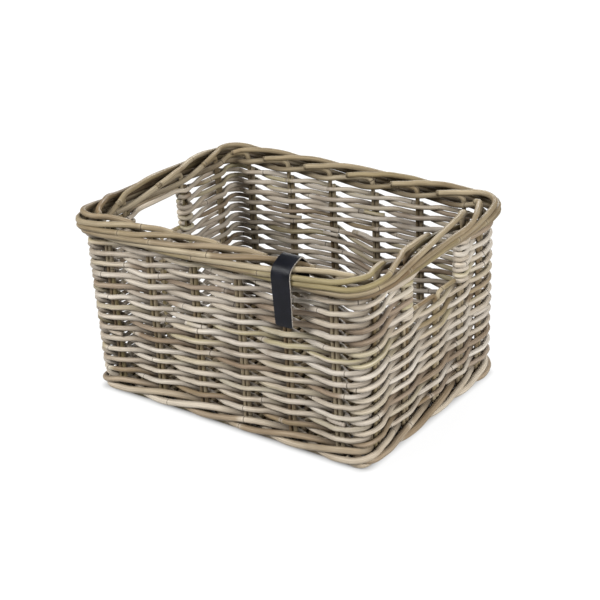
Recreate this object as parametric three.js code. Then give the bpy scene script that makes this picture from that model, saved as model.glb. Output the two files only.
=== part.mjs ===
// A woven rattan bicycle basket. Millimetres, +Z up, the front wall faces -Y.
// The origin is on the ground, under the middle of the basket.
import * as THREE from "three";

// Overall size
const rimLength = 400; // along X, outside the rim
const rimDepth = 290; // along Y, outside the rim
const rimTop = 214; // top of the rim rods above the ground
const wallLeanLength = 4; // how far each end wall leans out between the ground and the rim
const wallLeanDepth = 1.5; // how far the front and back walls lean out
const wallCornerRadius = 18; // of the line through the stakes

// Upright stakes: each is one rod folded in half, with both legs side by side in the wall
const stakeHalf = 2.5; // half the diagonal of the rod
const legGap = 0.4; // between the two legs of one stake
const frontStakes = 6; // on each long wall
const cornerInsetLength = 28; // from the end wall's stake line to the last stake of a long wall
const cornerInsetDepth = 24; // from the long wall's stake line to the last stake of an end wall
// Stakes at a hand hole, from the middle of the end wall: one edge, the sill, the other edge
const rightHoleStakes = [-48.5, 12, 62]; // front to back
const leftHoleStakes = [-37, 12, 61.5]; // back to front

// Side weave: two strands that twist round each other between the stakes
const weaverHalf = 2.95; // half the diagonal of a strand
const strandGap = 0.3; // between the two strands where they cross
const rowGap = 0.72; // between one row and the next
const cornerBulge = 5; // how far the strands swing out between the two stakes of a corner
const seat = 0.35; // clearance where one piece lies on another
const buttGap = 2.2; // between the end of one strand and the start of the next
const sideWeavers = 5; // lengths of strand pair, one after the other, up to the hand holes
const joinIndex = 16; // stake behind which the first strands start, on the back wall
const lastCount = 4; // stakes before the join where the last strand pair ends, at the back

// Foot: three thicker strands that twist round the stakes, on four base sticks
const footHalf = 3.6; // half the diagonal of a foot strand
const baseStickRadius = 4.3;
const baseStickFlat = 0.5; // depth of the flat that the basket stands on
const baseStickOut = 2; // from the stake line outwards
const baseStickLong = 334; // front and back
const baseStickShort = 230; // left and right

// Floor: sticks along X and one long strand that weaves over and under them
const floorSticks = 5;
const floorStickHalf = 3.2;
const floorWeaverHalf = 2.4;
const floorPitch = 16; // between two passes of the floor strand
const floorEdge = 15; // from the foot strands to the middle of the last floor stick
const floorSeat = 0.45; // clearance between the floor strand and the floor sticks
const floorTurnGap = 2; // room where the floor strand turns round the last floor stick
const floorGround = 0.4; // from the ground up to the floor strand

// Hand holes and border
const handleRows = 3; // rows of weave left out for a hand hole, under the top row
const rimOut = 2.5; // from the stake line out to the middle of the border
const rimReach = 15.8; // half the width of the border
const rimDrop = 22.5; // height of the border
const rimRodHalf = 3.2; // half the diagonal of a rod in the border, where the stake is thickest
const rimCornerRadius = 29; // of the middle of the border
const rimCornerBulge = 2.5; // how far the border swings out between the two stakes of a corner
const kinkOut = -3; // where a stake bends over, from the middle of the border
const kinkRise = 14; // and from its underside
// From there in half stake spacings, out and up: behind one stake, under the others to the outside,
// in front of four stakes while later rods push it up, and over the top to the inside
const borderLay = [
  [-8.5, 15.5],
  [-9.5, 8],
  [-2, 3.4],
  [5, 3.4],
  [8.7, 4.2],
  [11.2, 6],
  [12.5, 9],
  [12.6, 12.6],
  [11, 15.8],
  [8.5, 18.2],
  [4.5, 19.2],
  [0.3, 19.2],
  [-4.2, 19.2],
];

// Label strap, folded over the front rim
const strapWidth = 23;
const strapThickness = 1.8;
const strapCentre = 101; // along X
const strapDrop = 65.5; // from the top of the rim down to its lower end
const strapInside = 20; // from the top of the border down to its end inside
const strapFold = 7; // size of its bends over the edges of the border
const strapTuck = 2.2; // how much nearer to the border's middle it lies inside than outside
const strapSteps = 30; // along its length

// Sizes that follow from the ones above
const rimHeight = rimTop - rimReach;
const rimBottom = rimTop - rimDrop;
const rimHalfLength = rimLength / 2 - rimReach;
const rimHalfDepth = rimDepth / 2 - rimReach;
const wallHalfLength = rimHalfLength - rimOut - wallLeanLength;
const wallHalfDepth = rimHalfDepth - rimOut - wallLeanDepth;
const legOffset = stakeHalf + legGap / 2;
const crossRise = weaverHalf + strandGap / 2;
const rowReach = crossRise + weaverHalf;
const rowPitch = 2 * rowReach + rowGap;
const baseStickHeight = baseStickRadius - baseStickFlat;
const baseTop = baseStickHeight + baseStickRadius;
const footRise = footHalf + strandGap;
const footReach = footRise + footHalf + strandGap;
const footHeight = baseTop + seat + footReach;
const footOut = stakeHalf + footHalf + seat;
const firstRow = footHeight + footReach + rowGap + rowReach;
const allRows = Math.floor((rimBottom - firstRow + rowReach) / rowPitch);
const upperRows = handleRows;
const lowerRows = allRows - 1 - upperRows;
const topRow = firstRow + (allRows - 1) * rowPitch;
const sillHeight = firstRow + (lowerRows - 1) * rowPitch + rowReach + seat + stakeHalf;
const stakeFoot = baseTop + seat + stakeHalf;
const strapBottom = rimTop - strapDrop;
const halfTurn = Math.PI;

const up = new THREE.Vector3(0, 0, 1);
const basket = new THREE.Group();

function finish(color, roughness = 0.55) {
  return new THREE.MeshStandardMaterial({ color, roughness, metalness: 0 });
}

function add(name, geometry, material) {
  const mesh = new THREE.Mesh(geometry, material);
  mesh.name = name;
  basket.add(mesh);
}

// A rounded rectangle in plan, measured by the length along it from the middle of the front wall
class Outline {
  constructor(halfLength, halfDepth, radius) {
    this.radius = radius;
    this.halfLength = halfLength;
    this.halfDepth = halfDepth;
    this.straightLength = halfLength - radius;
    this.straightDepth = halfDepth - radius;
    this.corner = (radius * Math.PI) / 2;
    this.quarter = this.straightLength + this.corner + this.straightDepth;
  }

  straightOf(wall) {
    return wall % 2 === 0 ? this.straightLength : this.straightDepth;
  }

  // Length along the outline of a stake, by wall number and its offset from that wall's middle
  at({ wall, offset }) {
    const straight = this.straightOf(wall);
    const past = Math.max(0, Math.abs(offset) - straight);
    const along = Math.min(Math.abs(offset), straight);
    const turned = this.radius * Math.asin(Math.min(1, past / this.radius));
    return wall * this.quarter + Math.sign(offset) * (along + turned);
  }

  // Point and outward direction at a length along the outline
  place(length) {
    const nearest = Math.round(length / this.quarter);
    const beyond = length - nearest * this.quarter;
    const isPast = Math.abs(beyond) > this.straightOf(nearest) + this.corner / 2;
    const wall = isPast ? nearest + Math.sign(beyond) : nearest;
    const offset = length - wall * this.quarter;
    const even = wall % 2 === 0;
    const straight = this.straightOf(wall);
    const away = even ? this.halfDepth : this.halfLength;
    const angle = Math.max(0, Math.abs(offset) - straight) / this.radius;
    const side = Math.sign(offset);
    const along = Math.min(Math.abs(offset), straight) + this.radius * Math.sin(angle);
    const turn = (wall * Math.PI) / 2;
    const point = new THREE.Vector3(side * along, this.radius * (1 - Math.cos(angle)) - away, 0);
    const outward = new THREE.Vector3(side * Math.sin(angle), -Math.cos(angle), 0);
    return { point: point.applyAxisAngle(up, turn), outward: outward.applyAxisAngle(up, turn) };
  }
}

// Stakes in order along the outline, from the front edge of the left hand hole
const lastFront = wallHalfLength - cornerInsetLength;
const lastEnd = wallHalfDepth - cornerInsetDepth;
const frontOffsets = Array.from(
  { length: frontStakes },
  (_, i) => -lastFront + (2 * lastFront * i) / (frontStakes - 1),
);
const columns = [
  ...[leftHoleStakes[2], lastEnd].map((offset) => ({ wall: -1, offset })),
  ...frontOffsets.map((offset) => ({ wall: 0, offset })),
  ...[-lastEnd, ...rightHoleStakes, lastEnd].map((offset) => ({ wall: 1, offset })),
  ...frontOffsets.map((offset) => ({ wall: 2, offset })),
  ...[-lastEnd, leftHoleStakes[0], leftHoleStakes[1]].map((offset) => ({ wall: 3, offset })),
];
const around = columns.length;
const half = around / 2;
const frontHoleEdges = [0, half - 2];
const sillColumns = [half - 1, around - 1];
const isCorner = (index) => {
  const wallOf = (i) => columns[((i % around) + around) % around].wall % 2 === 0;
  return wallOf(index) !== wallOf(index + 1);
};

function lengthAt(outline, list, position) {
  const index = Math.floor(position);
  const turns = Math.floor(index / list.length);
  const from = outline.at(list[index - turns * list.length]);
  const next = index + 1 - turns * list.length;
  const to = next < list.length ? outline.at(list[next]) : outline.at(list[0]) + 4 * outline.quarter;
  return from + (to - from) * (position - index) + turns * 4 * outline.quarter;
}

function wallOutline(height) {
  const share = height / rimHeight;
  return new Outline(
    wallHalfLength + wallLeanLength * share,
    wallHalfDepth + wallLeanDepth * share,
    wallCornerRadius,
  );
}

// Point in the wall: a place counted in stakes, a step along the wall, a distance outwards, a height
function wallPoint(position, step, out, height) {
  const outline = wallOutline(height);
  const { point, outward } = outline.place(lengthAt(outline, columns, position) + step);
  point.addScaledVector(outward, out).setZ(height);
  return { point, outward };
}

// Sweeps a four-sided rod along stations, each with a point, a half size and, on a rod that rises
// steeply, an outward direction: a level rod keeps one edge up
function rod(stations, closed = false) {
  const count = stations.length;
  const positions = [];
  const faces = [];
  const sides = 4;
  stations.forEach((station, i) => {
    const before = stations[closed ? (i + count - 1) % count : Math.max(0, i - 1)].point;
    const after = stations[closed ? (i + 1) % count : Math.min(count - 1, i + 1)].point;
    const arriving = station.point.clone().sub(before).normalize();
    const leaving = after.clone().sub(station.point).normalize();
    if (!closed && i === 0) arriving.copy(leaving);
    if (!closed && i === count - 1) leaving.copy(arriving);
    const along = arriving.clone().add(leaving).normalize();
    const outward = along.clone().cross(up);
    if (station.outward) {
      outward.copy(station.outward).addScaledVector(along, -station.outward.dot(along));
    }
    outward.normalize();
    const across = along.clone().cross(outward);
    const bend = leaving.clone().sub(arriving);
    const stretch = 1 / along.dot(arriving) - 1;
    if (bend.length() > 0) bend.normalize();
    [outward, across, outward.clone().negate(), across.clone().negate()].forEach((direction) => {
      const offset = direction.clone().multiplyScalar(station.half);
      offset.addScaledVector(bend, stretch * offset.dot(bend));
      positions.push(...station.point.clone().add(offset).toArray());
    });
  });
  const rings = closed ? count : count - 1;
  for (let i = 0; i < rings; i += 1) {
    for (let side = 0; side < sides; side += 1) {
      const a = i * sides + side;
      const b = i * sides + ((side + 1) % sides);
      const c = ((i + 1) % count) * sides + ((side + 1) % sides);
      const d = ((i + 1) % count) * sides + side;
      faces.push(a, b, c, a, c, d);
    }
  }
  if (!closed) {
    const last = (count - 1) * sides;
    faces.push(0, 2, 1, 0, 3, 2, last, last + 1, last + 2, last, last + 2, last + 3);
  }
  const geometry = new THREE.BufferGeometry();
  geometry.setAttribute("position", new THREE.Float32BufferAttribute(positions, 3));
  geometry.setIndex(faces);
  geometry.computeVertexNormals();
  return geometry;
}

// How far out a strand passes a stake, so that it clears both legs on its way to the next crossing
function passOut(column, strandHalf, height) {
  const { point, outward } = wallPoint(column, 0, 0, height);
  const sideways = up.clone().cross(outward);
  const reach = stakeHalf + strandHalf + seat;
  const needed = [-0.5, 0.5].map((step) => {
    const crossing = wallPoint(column + step, 0, crossOut(column + step), height).point.sub(point);
    const share = legOffset / Math.abs(crossing.dot(sideways));
    return (reach - crossing.dot(outward) * share) / (1 - share);
  });
  return Math.max(reach, ...needed);
}

function crossOut(position) {
  return isCorner(Math.floor(position)) ? cornerBulge : 0;
}

const outAtColumn = columns.map((_, i) =>
  Math.max(passOut(i, weaverHalf, firstRow), passOut(i, weaverHalf, rimBottom)),
);
const footOutAtColumn = columns.map((_, i) => passOut(i, footHalf, footHeight));

// A place on a side strand: strands cross half way between the stakes, one over the other
function strandStation(position, phase, height) {
  const atStake = Number.isInteger(position);
  const turn = halfTurn * (position + phase);
  const out = atStake
    ? Math.round(Math.cos(turn)) * outAtColumn[((position % around) + around) % around]
    : crossOut(position);
  const rise = atStake ? 0 : Math.round(Math.sin(turn)) * crossRise;
  return { point: wallPoint(position, 0, out, height + rise).point, half: weaverHalf };
}

// Positions at each stake and each crossing from one place to another
function stops(from, to) {
  const count = Math.round(2 * (to - from));
  return Array.from({ length: count + 1 }, (_, i) => from + i / 2);
}

// Moves the first station along the rod, so that its end stays clear of the strand before it
function trim(stations, gap) {
  const [first, second] = stations;
  const way = second.point.clone().sub(first.point).normalize();
  first.point.addScaledVector(way, gap);
  return stations;
}

// The rows are level, and climb by one row in the last spacing before the join
function rowHeight(position) {
  const rounds = (position - joinIndex) / around;
  const whole = Math.floor(rounds);
  const climb = Math.max(0, (rounds - whole) * around - (around - 1));
  return firstRow + rowPitch * (whole + climb);
}

const weaverTints = ["#b3a48c", "#a3947c", "#bdb09a", "#978a74", "#a99c86", "#8f8069"];

function buildSideWeavers() {
  for (let i = 0; i < sideWeavers; i += 1) {
    const [from, to] = [i, i + 1].map((count) => 2 * Math.round((count * lowerRows * half) / sideWeavers));
    ["outer", "inner"].forEach((kind, phase) => {
      const start = joinIndex + 1 - phase + from;
      const last = i === sideWeavers - 1;
      const end = joinIndex + 1 - phase + to - (last ? lastCount : 0);
      const stations = stops(start, end).map((position) =>
        strandStation(position, phase, rowHeight(position)),
      );
      const tint = weaverTints[(2 * i + phase) % weaverTints.length];
      add(`side_weaver_${i + 1}_${kind}`, rod(trim(stations, buttGap)), finish(tint));
    });
  }
}

// A rod of the upper rows is folded in half round the stake at one hand hole, and both halves are
// woven to the stake at the other hand hole, where the outer half turns in
function buildUpperWeavers() {
  const wrap = legOffset + stakeHalf + weaverHalf + seat;
  const diagonal = Math.SQRT1_2;
  ["front", "back"].forEach((wall, w) => {
    const first = frontHoleEdges[0] + w * half;
    const last = frontHoleEdges[1] + w * half;
    for (let row = 0; row < upperRows; row += 1) {
      const height = firstRow + (lowerRows + row) * rowPitch;
      const forward = row % 2 === 0;
      const [fold, tuck] = forward ? [first, last] : [last, first];
      const holeSide = forward ? -1 : 1;
      const outerPhase = fold % 2;
      const run = (phase) => {
        const list = stops(first, last).map((position) => strandStation(position, phase, height));
        return forward ? list : list.reverse();
      };
      const turnPoint = (column, side, share, out) => ({
        point: wallPoint(column, side * wrap * share, out * outAtColumn[column], height).point,
        half: weaverHalf,
      });
      const foldTurn = [
        turnPoint(fold, holeSide, diagonal, diagonal),
        turnPoint(fold, holeSide, 1, 0),
        turnPoint(fold, holeSide, diagonal, -diagonal),
      ];
      const tuckTurn = [
        turnPoint(tuck, -holeSide, diagonal, diagonal),
        turnPoint(tuck, -holeSide, 1, 0),
      ];
      const outerRun = run(outerPhase);
      const innerRun = run(1 - outerPhase);
      const endsOut = (tuck + outerPhase) % 2 === 0;
      const [outHalf, inHalf] = [outerRun, innerRun].map((list, i) =>
        endsOut === (i === 0) ? [...list, ...tuckTurn] : list,
      );
      const stations = [...outHalf.reverse(), ...foldTurn, ...inHalf];
      const tint = weaverTints[(row + 3 * w) % weaverTints.length];
      add(`${wall}_upper_weaver_${row + 1}`, rod(stations), finish(tint));
    }
  });
}

// Foot strands: each passes outside two stakes, first low and then high, and inside the third
function buildFoot() {
  const lanes = 3;
  for (let strand = 0; strand < lanes; strand += 1) {
    const stations = stops(joinIndex, joinIndex + around).map((position) => {
      const turn = (Math.floor(position) + strand) % lanes;
      const atStake = Number.isInteger(position);
      const bulge = atStake ? 0 : crossOut(position);
      const pass = atStake ? footOutAtColumn[position % around] : footOut;
      const out = atStake ? [pass, pass, -pass] : [pass, 0, 0];
      const rise = atStake ? [-footRise, footRise, 0] : [0, footRise, -footRise];
      const { point } = wallPoint(position, 0, out[turn] + bulge, footHeight + rise[turn]);
      return { point, half: footHalf };
    });
    add(`foot_strand_${strand + 1}`, rod(trim(stations, buttGap)), finish("#8d7d66"));
  }
}

// Top row: a strand pair on each wall. Over a hand hole the two lie side by side under the border
function topStation(position, phase) {
  const column = position % around;
  const sill = sillColumns.find((i) => Math.abs(column - i) < 1);
  if (sill === undefined) return strandStation(position, phase, topRow);
  const side = -Math.round(Math.cos(halfTurn * (sill + phase)));
  const { point } = wallPoint(position, 0, side * crossRise, rimBottom - seat - weaverHalf);
  return { point, half: weaverHalf };
}

function buildTopWeavers() {
  const [leftEdge, rightEdge] = frontHoleEdges;
  const runs = [
    ["front", leftEdge, rightEdge],
    ["right", rightEdge, leftEdge + half],
    ["back", leftEdge + half, rightEdge + half],
    ["left", rightEdge + half, leftEdge + around],
  ];
  runs.forEach(([wall, start, end]) => {
    ["outer", "inner"].forEach((kind, phase) => {
      const stations = stops(start, end).map((position) => topStation(position, phase));
      const tint = weaverTints[1 + phase];
      add(`${wall}_top_weaver_${kind}`, rod(trim(stations, buttGap)), finish(tint));
    });
  });
}

// Border: the stakes that reach it, and a place in it by out and rise
const rimOutline = new Outline(rimHalfLength, rimHalfDepth, rimCornerRadius);
const rimColumns = columns.filter((_, i) => !sillColumns.includes(i));

function rimPoint(position, out, rise) {
  const { point, outward } = rimOutline.place(lengthAt(rimOutline, rimColumns, position));
  const index = Math.floor(position) % rimColumns.length;
  const next = (index + 1) % rimColumns.length;
  const turnsCorner = (rimColumns[index].wall + rimColumns[next].wall) % 2 !== 0;
  const bulge = turnsCorner && !Number.isInteger(position) ? rimCornerBulge : 0;
  return point.addScaledVector(outward, out + bulge).setZ(rimBottom + rise);
}

// One rod folded at the foot: two legs up the wall. One end makes the border, and the other is cut
function buildStakes() {
  let rimPlace = 0;
  columns.forEach((_, column) => {
    if (sillColumns.includes(column)) return;
    const leg = (side, height, out = 0) => ({
      ...wallPoint(column, side * legOffset, out, height),
      half: stakeHalf,
    });
    const border = borderLay.map(([out, rise], i) => ({
      point: rimPoint(rimPlace + (i + 1) / 2, out, rise),
      half: rimRodHalf,
    }));
    const kink = leg(1, rimBottom + kinkRise, rimOut + kinkOut);
    const cutLeg = [leg(1, stakeFoot), leg(-1, stakeFoot), leg(-1, rimBottom - seat)];
    const stations = [...border.reverse(), kink, leg(1, rimBottom), ...cutLeg];
    add(`stake_${String(column + 1).padStart(2, "0")}`, rod(stations), finish("#9c8d75"));
    rimPlace += 1;
  });
}

// The stake under each hand hole: its two ends bend apart along the sill
function buildSills() {
  ["right", "left"].forEach((name, i) => {
    const column = sillColumns[i];
    const leg = (side, height, step = 0) => ({
      ...wallPoint(column, side * (legOffset + step), 0, height),
      half: stakeHalf,
    });
    const room = stakeHalf + 2 * (legOffset + weaverHalf + seat);
    const halfRod = (side) => {
      const edge = columns[(column + side) % around];
      const end = Math.abs(edge.offset - columns[column].offset) - room;
      return [leg(side, stakeFoot), leg(side, sillHeight), leg(side, sillHeight, end)];
    };
    const stations = [...halfRod(1).reverse(), ...halfRod(-1)];
    add(`${name}_sill_stake`, rod(stations), finish("#9c8d75"));
  });
}

// Round sticks with a flat underneath, which the basket stands on
function baseStick(length) {
  const lowest = Math.asin((baseStickFlat - baseStickRadius) / baseStickRadius);
  const section = new THREE.Shape();
  section.absarc(0, 0, baseStickRadius, lowest, halfTurn - lowest, false);
  section.closePath();
  const depth = { depth: length, bevelEnabled: false, curveSegments: 10 };
  const geometry = new THREE.ExtrudeGeometry(section, depth);
  geometry.translate(0, 0, -length / 2);
  return geometry.rotateX(halfTurn / 2);
}

function buildBaseSticks() {
  const outline = wallOutline(baseStickHeight);
  const longAway = outline.halfDepth + baseStickOut;
  const shortAway = outline.halfLength + baseStickOut;
  [
    ["front", 0, -longAway, baseStickLong, halfTurn / 2],
    ["back", 0, longAway, baseStickLong, halfTurn / 2],
    ["left", -shortAway, 0, baseStickShort, 0],
    ["right", shortAway, 0, baseStickShort, 0],
  ].forEach(([name, x, y, length, turn]) => {
    const geometry = baseStick(length).rotateZ(turn).translate(x, y, baseStickHeight);
    add(`base_stick_${name}`, geometry, finish("#86775f"));
  });
}

function buildFloor() {
  const outline = wallOutline(footHeight);
  const over = floorStickHalf + floorWeaverHalf + floorSeat;
  const turnReach = over + floorTurnGap;
  const height = floorGround + floorWeaverHalf + over;
  const edge = outline.halfDepth - footOut - floorEdge;
  const endAway = wallOutline(baseStickHeight).halfLength + baseStickOut - baseStickRadius - seat;
  const rows = Array.from({ length: floorSticks }, (_, i) => -edge + (2 * edge * i) / (floorSticks - 1));
  const cornerReach = wallCornerRadius - footOut - footHalf - floorStickHalf;
  rows.forEach((y, i) => {
    const past = Math.abs(y) - outline.straightDepth;
    const inCorner = outline.straightLength + Math.sqrt(Math.max(0, cornerReach ** 2 - past ** 2));
    const away = past > 0 ? Math.min(endAway, inCorner) : endAway;
    const stations = [-away, away].map((x) => ({
      point: new THREE.Vector3(x, y, height),
      outward: up,
      half: floorStickHalf,
    }));
    add(`floor_stick_${i + 1}`, rod(stations), finish("#8a7b64"));
  });
  const reach = outline.halfLength - footOut - footHalf - floorWeaverHalf - seat;
  const passes = 2 * Math.floor(reach / floorPitch);
  const stations = [];
  for (let pass = 0; pass < passes; pass += 1) {
    const x = (pass - (passes - 1) / 2) * floorPitch;
    const order = pass % 2 === 0 ? rows : [...rows].reverse();
    order.forEach((y, i) => {
      const side = i % 2 === 0 ? 1 : -1;
      stations.push({
        point: new THREE.Vector3(x, y, height + side * (pass % 2 === 0 ? 1 : -1) * over),
        half: floorWeaverHalf,
      });
    });
    const turnSide = Math.sign(order[floorSticks - 1]);
    if (pass === passes - 1) continue;
    stations.push({
      point: new THREE.Vector3(x + floorPitch / 2, turnSide * (edge + turnReach), height),
      half: floorWeaverHalf,
    });
  }
  add("floor_weaver", rod(stations), finish("#9a8b73"));
}

// A flat strip over the border: its long end hangs outside and lies on the weave, the short end inside
function buildStrap() {
  const weaveFace = outAtColumn[frontHoleEdges[1] - 2] + weaverHalf + seat;
  const over = (out, rise) => new THREE.Vector2(-rimHalfDepth - out, rimBottom + rise);
  const side = rimReach + seat;
  const inside = rimReach - strapTuck;
  const shoulder = rimDrop - strapFold;
  const fold = new THREE.SplineCurve([
    new THREE.Vector2(-wallOutline(strapBottom).halfDepth - weaveFace, strapBottom),
    over(side, 0),
    over(side, shoulder),
    over(rimReach - strapFold, rimDrop - 2 * seat),
    over(strapFold - inside, rimDrop - seat),
    over(-inside, shoulder),
    over(-inside, rimDrop - strapInside),
  ]);
  const steps = Array.from({ length: strapSteps + 1 }, (_, i) => i / strapSteps);
  const inner = steps.map((step) => fold.getPointAt(step));
  const outer = steps.map((step, i) => {
    const along = fold.getTangentAt(step);
    return new THREE.Vector2(-along.y, along.x).multiplyScalar(strapThickness).add(inner[i]);
  });
  const strip = new THREE.Shape([...inner, ...outer.reverse()]);
  const geometry = new THREE.ExtrudeGeometry(strip, { depth: strapWidth, bevelEnabled: false });
  const axes = [new THREE.Vector3(0, 1, 0), up, new THREE.Vector3(1, 0, 0)];
  geometry.applyMatrix4(new THREE.Matrix4().makeBasis(...axes));
  geometry.translate(strapCentre - strapWidth / 2, 0, 0);
  add("label_strap", geometry, finish("#1d1f26", 0.45));
}

buildBaseSticks();
buildFloor();
buildFoot();
buildStakes();
buildSills();
buildSideWeavers();
buildUpperWeavers();
buildTopWeavers();
buildStrap();

export default basket;
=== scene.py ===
import math
import random

import bmesh
import bpy
import numpy as np
from mathutils import Matrix, Vector, noise


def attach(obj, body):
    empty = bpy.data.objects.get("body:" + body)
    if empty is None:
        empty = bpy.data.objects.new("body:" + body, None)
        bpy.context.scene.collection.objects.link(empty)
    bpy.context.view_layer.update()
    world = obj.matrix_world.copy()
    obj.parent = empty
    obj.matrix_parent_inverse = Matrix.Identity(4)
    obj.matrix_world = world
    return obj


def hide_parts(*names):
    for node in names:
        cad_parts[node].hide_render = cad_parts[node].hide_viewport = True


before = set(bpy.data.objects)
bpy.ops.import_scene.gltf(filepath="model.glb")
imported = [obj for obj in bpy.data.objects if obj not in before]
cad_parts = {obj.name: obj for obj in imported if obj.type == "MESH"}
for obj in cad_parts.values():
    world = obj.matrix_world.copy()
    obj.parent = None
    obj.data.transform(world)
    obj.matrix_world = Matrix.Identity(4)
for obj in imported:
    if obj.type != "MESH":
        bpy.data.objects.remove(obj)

scene = bpy.context.scene
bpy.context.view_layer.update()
mm = 0.001  # sizes in the settings are millimetres, on the scene they are metres
upward = Vector((0, 0, 1))

# Colours are written as they look on screen, 0 to 255


def paint(red, green, blue):
    def linear(value):
        value = value / 255
        return value / 12.92 if value <= 0.04045 else ((value + 0.055) / 1.055) ** 2.4

    return (linear(red), linear(green), linear(blue), 1.0)


def feed(tree, node, inputs):
    for name, value in inputs.items():
        if hasattr(value, "links"):
            tree.links.new(value, node.inputs[name])
        else:
            node.inputs[name].default_value = value


def addNode(tree, kind, inputs=None, **settings):
    node = tree.nodes.new(kind)
    for name, value in settings.items():
        setattr(node, name, value)
    feed(tree, node, inputs or {})
    return node


def addNoise(tree, place, scale, detail, **inputs):
    inputs = {"Vector": place, "Scale": scale, "Detail": detail, **inputs}
    return addNode(tree, "ShaderNodeTexNoise", inputs).outputs[0]


def addBump(tree, height, look):
    raised = {"Height": height, "Strength": look["bump"], "Distance": look["bumpDepth"]}
    return addNode(tree, "ShaderNodeBump", raised).outputs[0]


def placeOn(tree):
    return addNode(tree, "ShaderNodeTexCoord").outputs["Object"]


def newMaterial(name):
    material = bpy.data.materials.new(name)
    material.use_nodes = True
    return material, material.node_tree, material.node_tree.nodes["Principled BSDF"]


def calculate(tree, operation, *values):
    return addNode(tree, "ShaderNodeMath", dict(enumerate(values)), operation=operation).outputs[0]


def spread(tree, value, fromLow, fromHigh, toLow=0.0, toHigh=1.0, kind="SMOOTHSTEP"):
    inputs = {"Value": value, "From Min": fromLow, "From Max": fromHigh, "To Min": toLow, "To Max": toHigh}
    return addNode(tree, "ShaderNodeMapRange", inputs, interpolation_type=kind).outputs[0]


def mixColour(tree, share, first, second, blend="MIX"):
    inputs = {0: share, 6: first, 7: second}  # its sockets for colours
    return addNode(tree, "ShaderNodeMix", inputs, data_type="RGBA", blend_type=blend).outputs[2]


# Cane skin: reads two attributes of a strand: "cane", which is (length along it, across, across) in metres,
# and one which is 1 where the strand lies deep in the weave, where the skin paints shade into its colour

caneLook = {
    # the colour of the painted shade deep in the weave
    "paintedShadeTint": (80, 66, 50),
    "ringTint": (58, 44, 30),
    "toneScale": 2.3,  # slow changes along one length of cane
    "jointBlend": 0.25,  # how softly one joint's tone goes over into the next
    "patches": (9, 160, 160),  # along the cane, across, across
    "streaks": (13, 1050, 1050),
    "fibres": (45, 3000, 3000),
    "cracks": (22, 1700, 1700),
    "grimeAndShadeNoiseScale": 17.0,
    "noiseRoughness": 0.6,
    # where each mark begins and is full, and how much of it shows
    "paleFrom": (0.5, 1.05),
    "slowShare": 0.75,
    "jointShare": 0.4,
    "patchShare": 0.35,
    "oliveJoints": (0.62, 0.9),
    "olivePatches": (0.35, 0.6),
    "oliveShare": 0.8,
    "brownJoints": (0.7, 0.95),
    "brownShare": 0.75,
    "dirtFrom": (0.48, 0.75),
    "dirtShare": 0.45,
    "noiseFrom": (0.3, 0.7),
    "grainShade": (0.74, 1.1),
    "fibreShade": (-0.1, 0.1),
    "crackFrom": (0.66, 0.74),
    "crackShare": 0.6,
    "lipFrom": (0.0008, 0.0045),  # metres from a joint
    "lipShare": 0.35,
    "ringFrom": (0.0002, 0.0008),
    "ringShare": 0.8,
    # how much a noise thins the painted shade
    "paintedShadeNoise": (0.8, 1.0),
    # how high each stands on the cane
    "streakRelief": 0.55,
    "fibreRelief": 0.25,
    "lipRelief": 0.7,
    "ringRelief": -1.1,
    "crackRelief": -0.5,
    "roughness": (0.62, 0.42),
    "bump": 0.55,
    "bumpDepth": 0.0006,
    "specular": 0.22,
}


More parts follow.
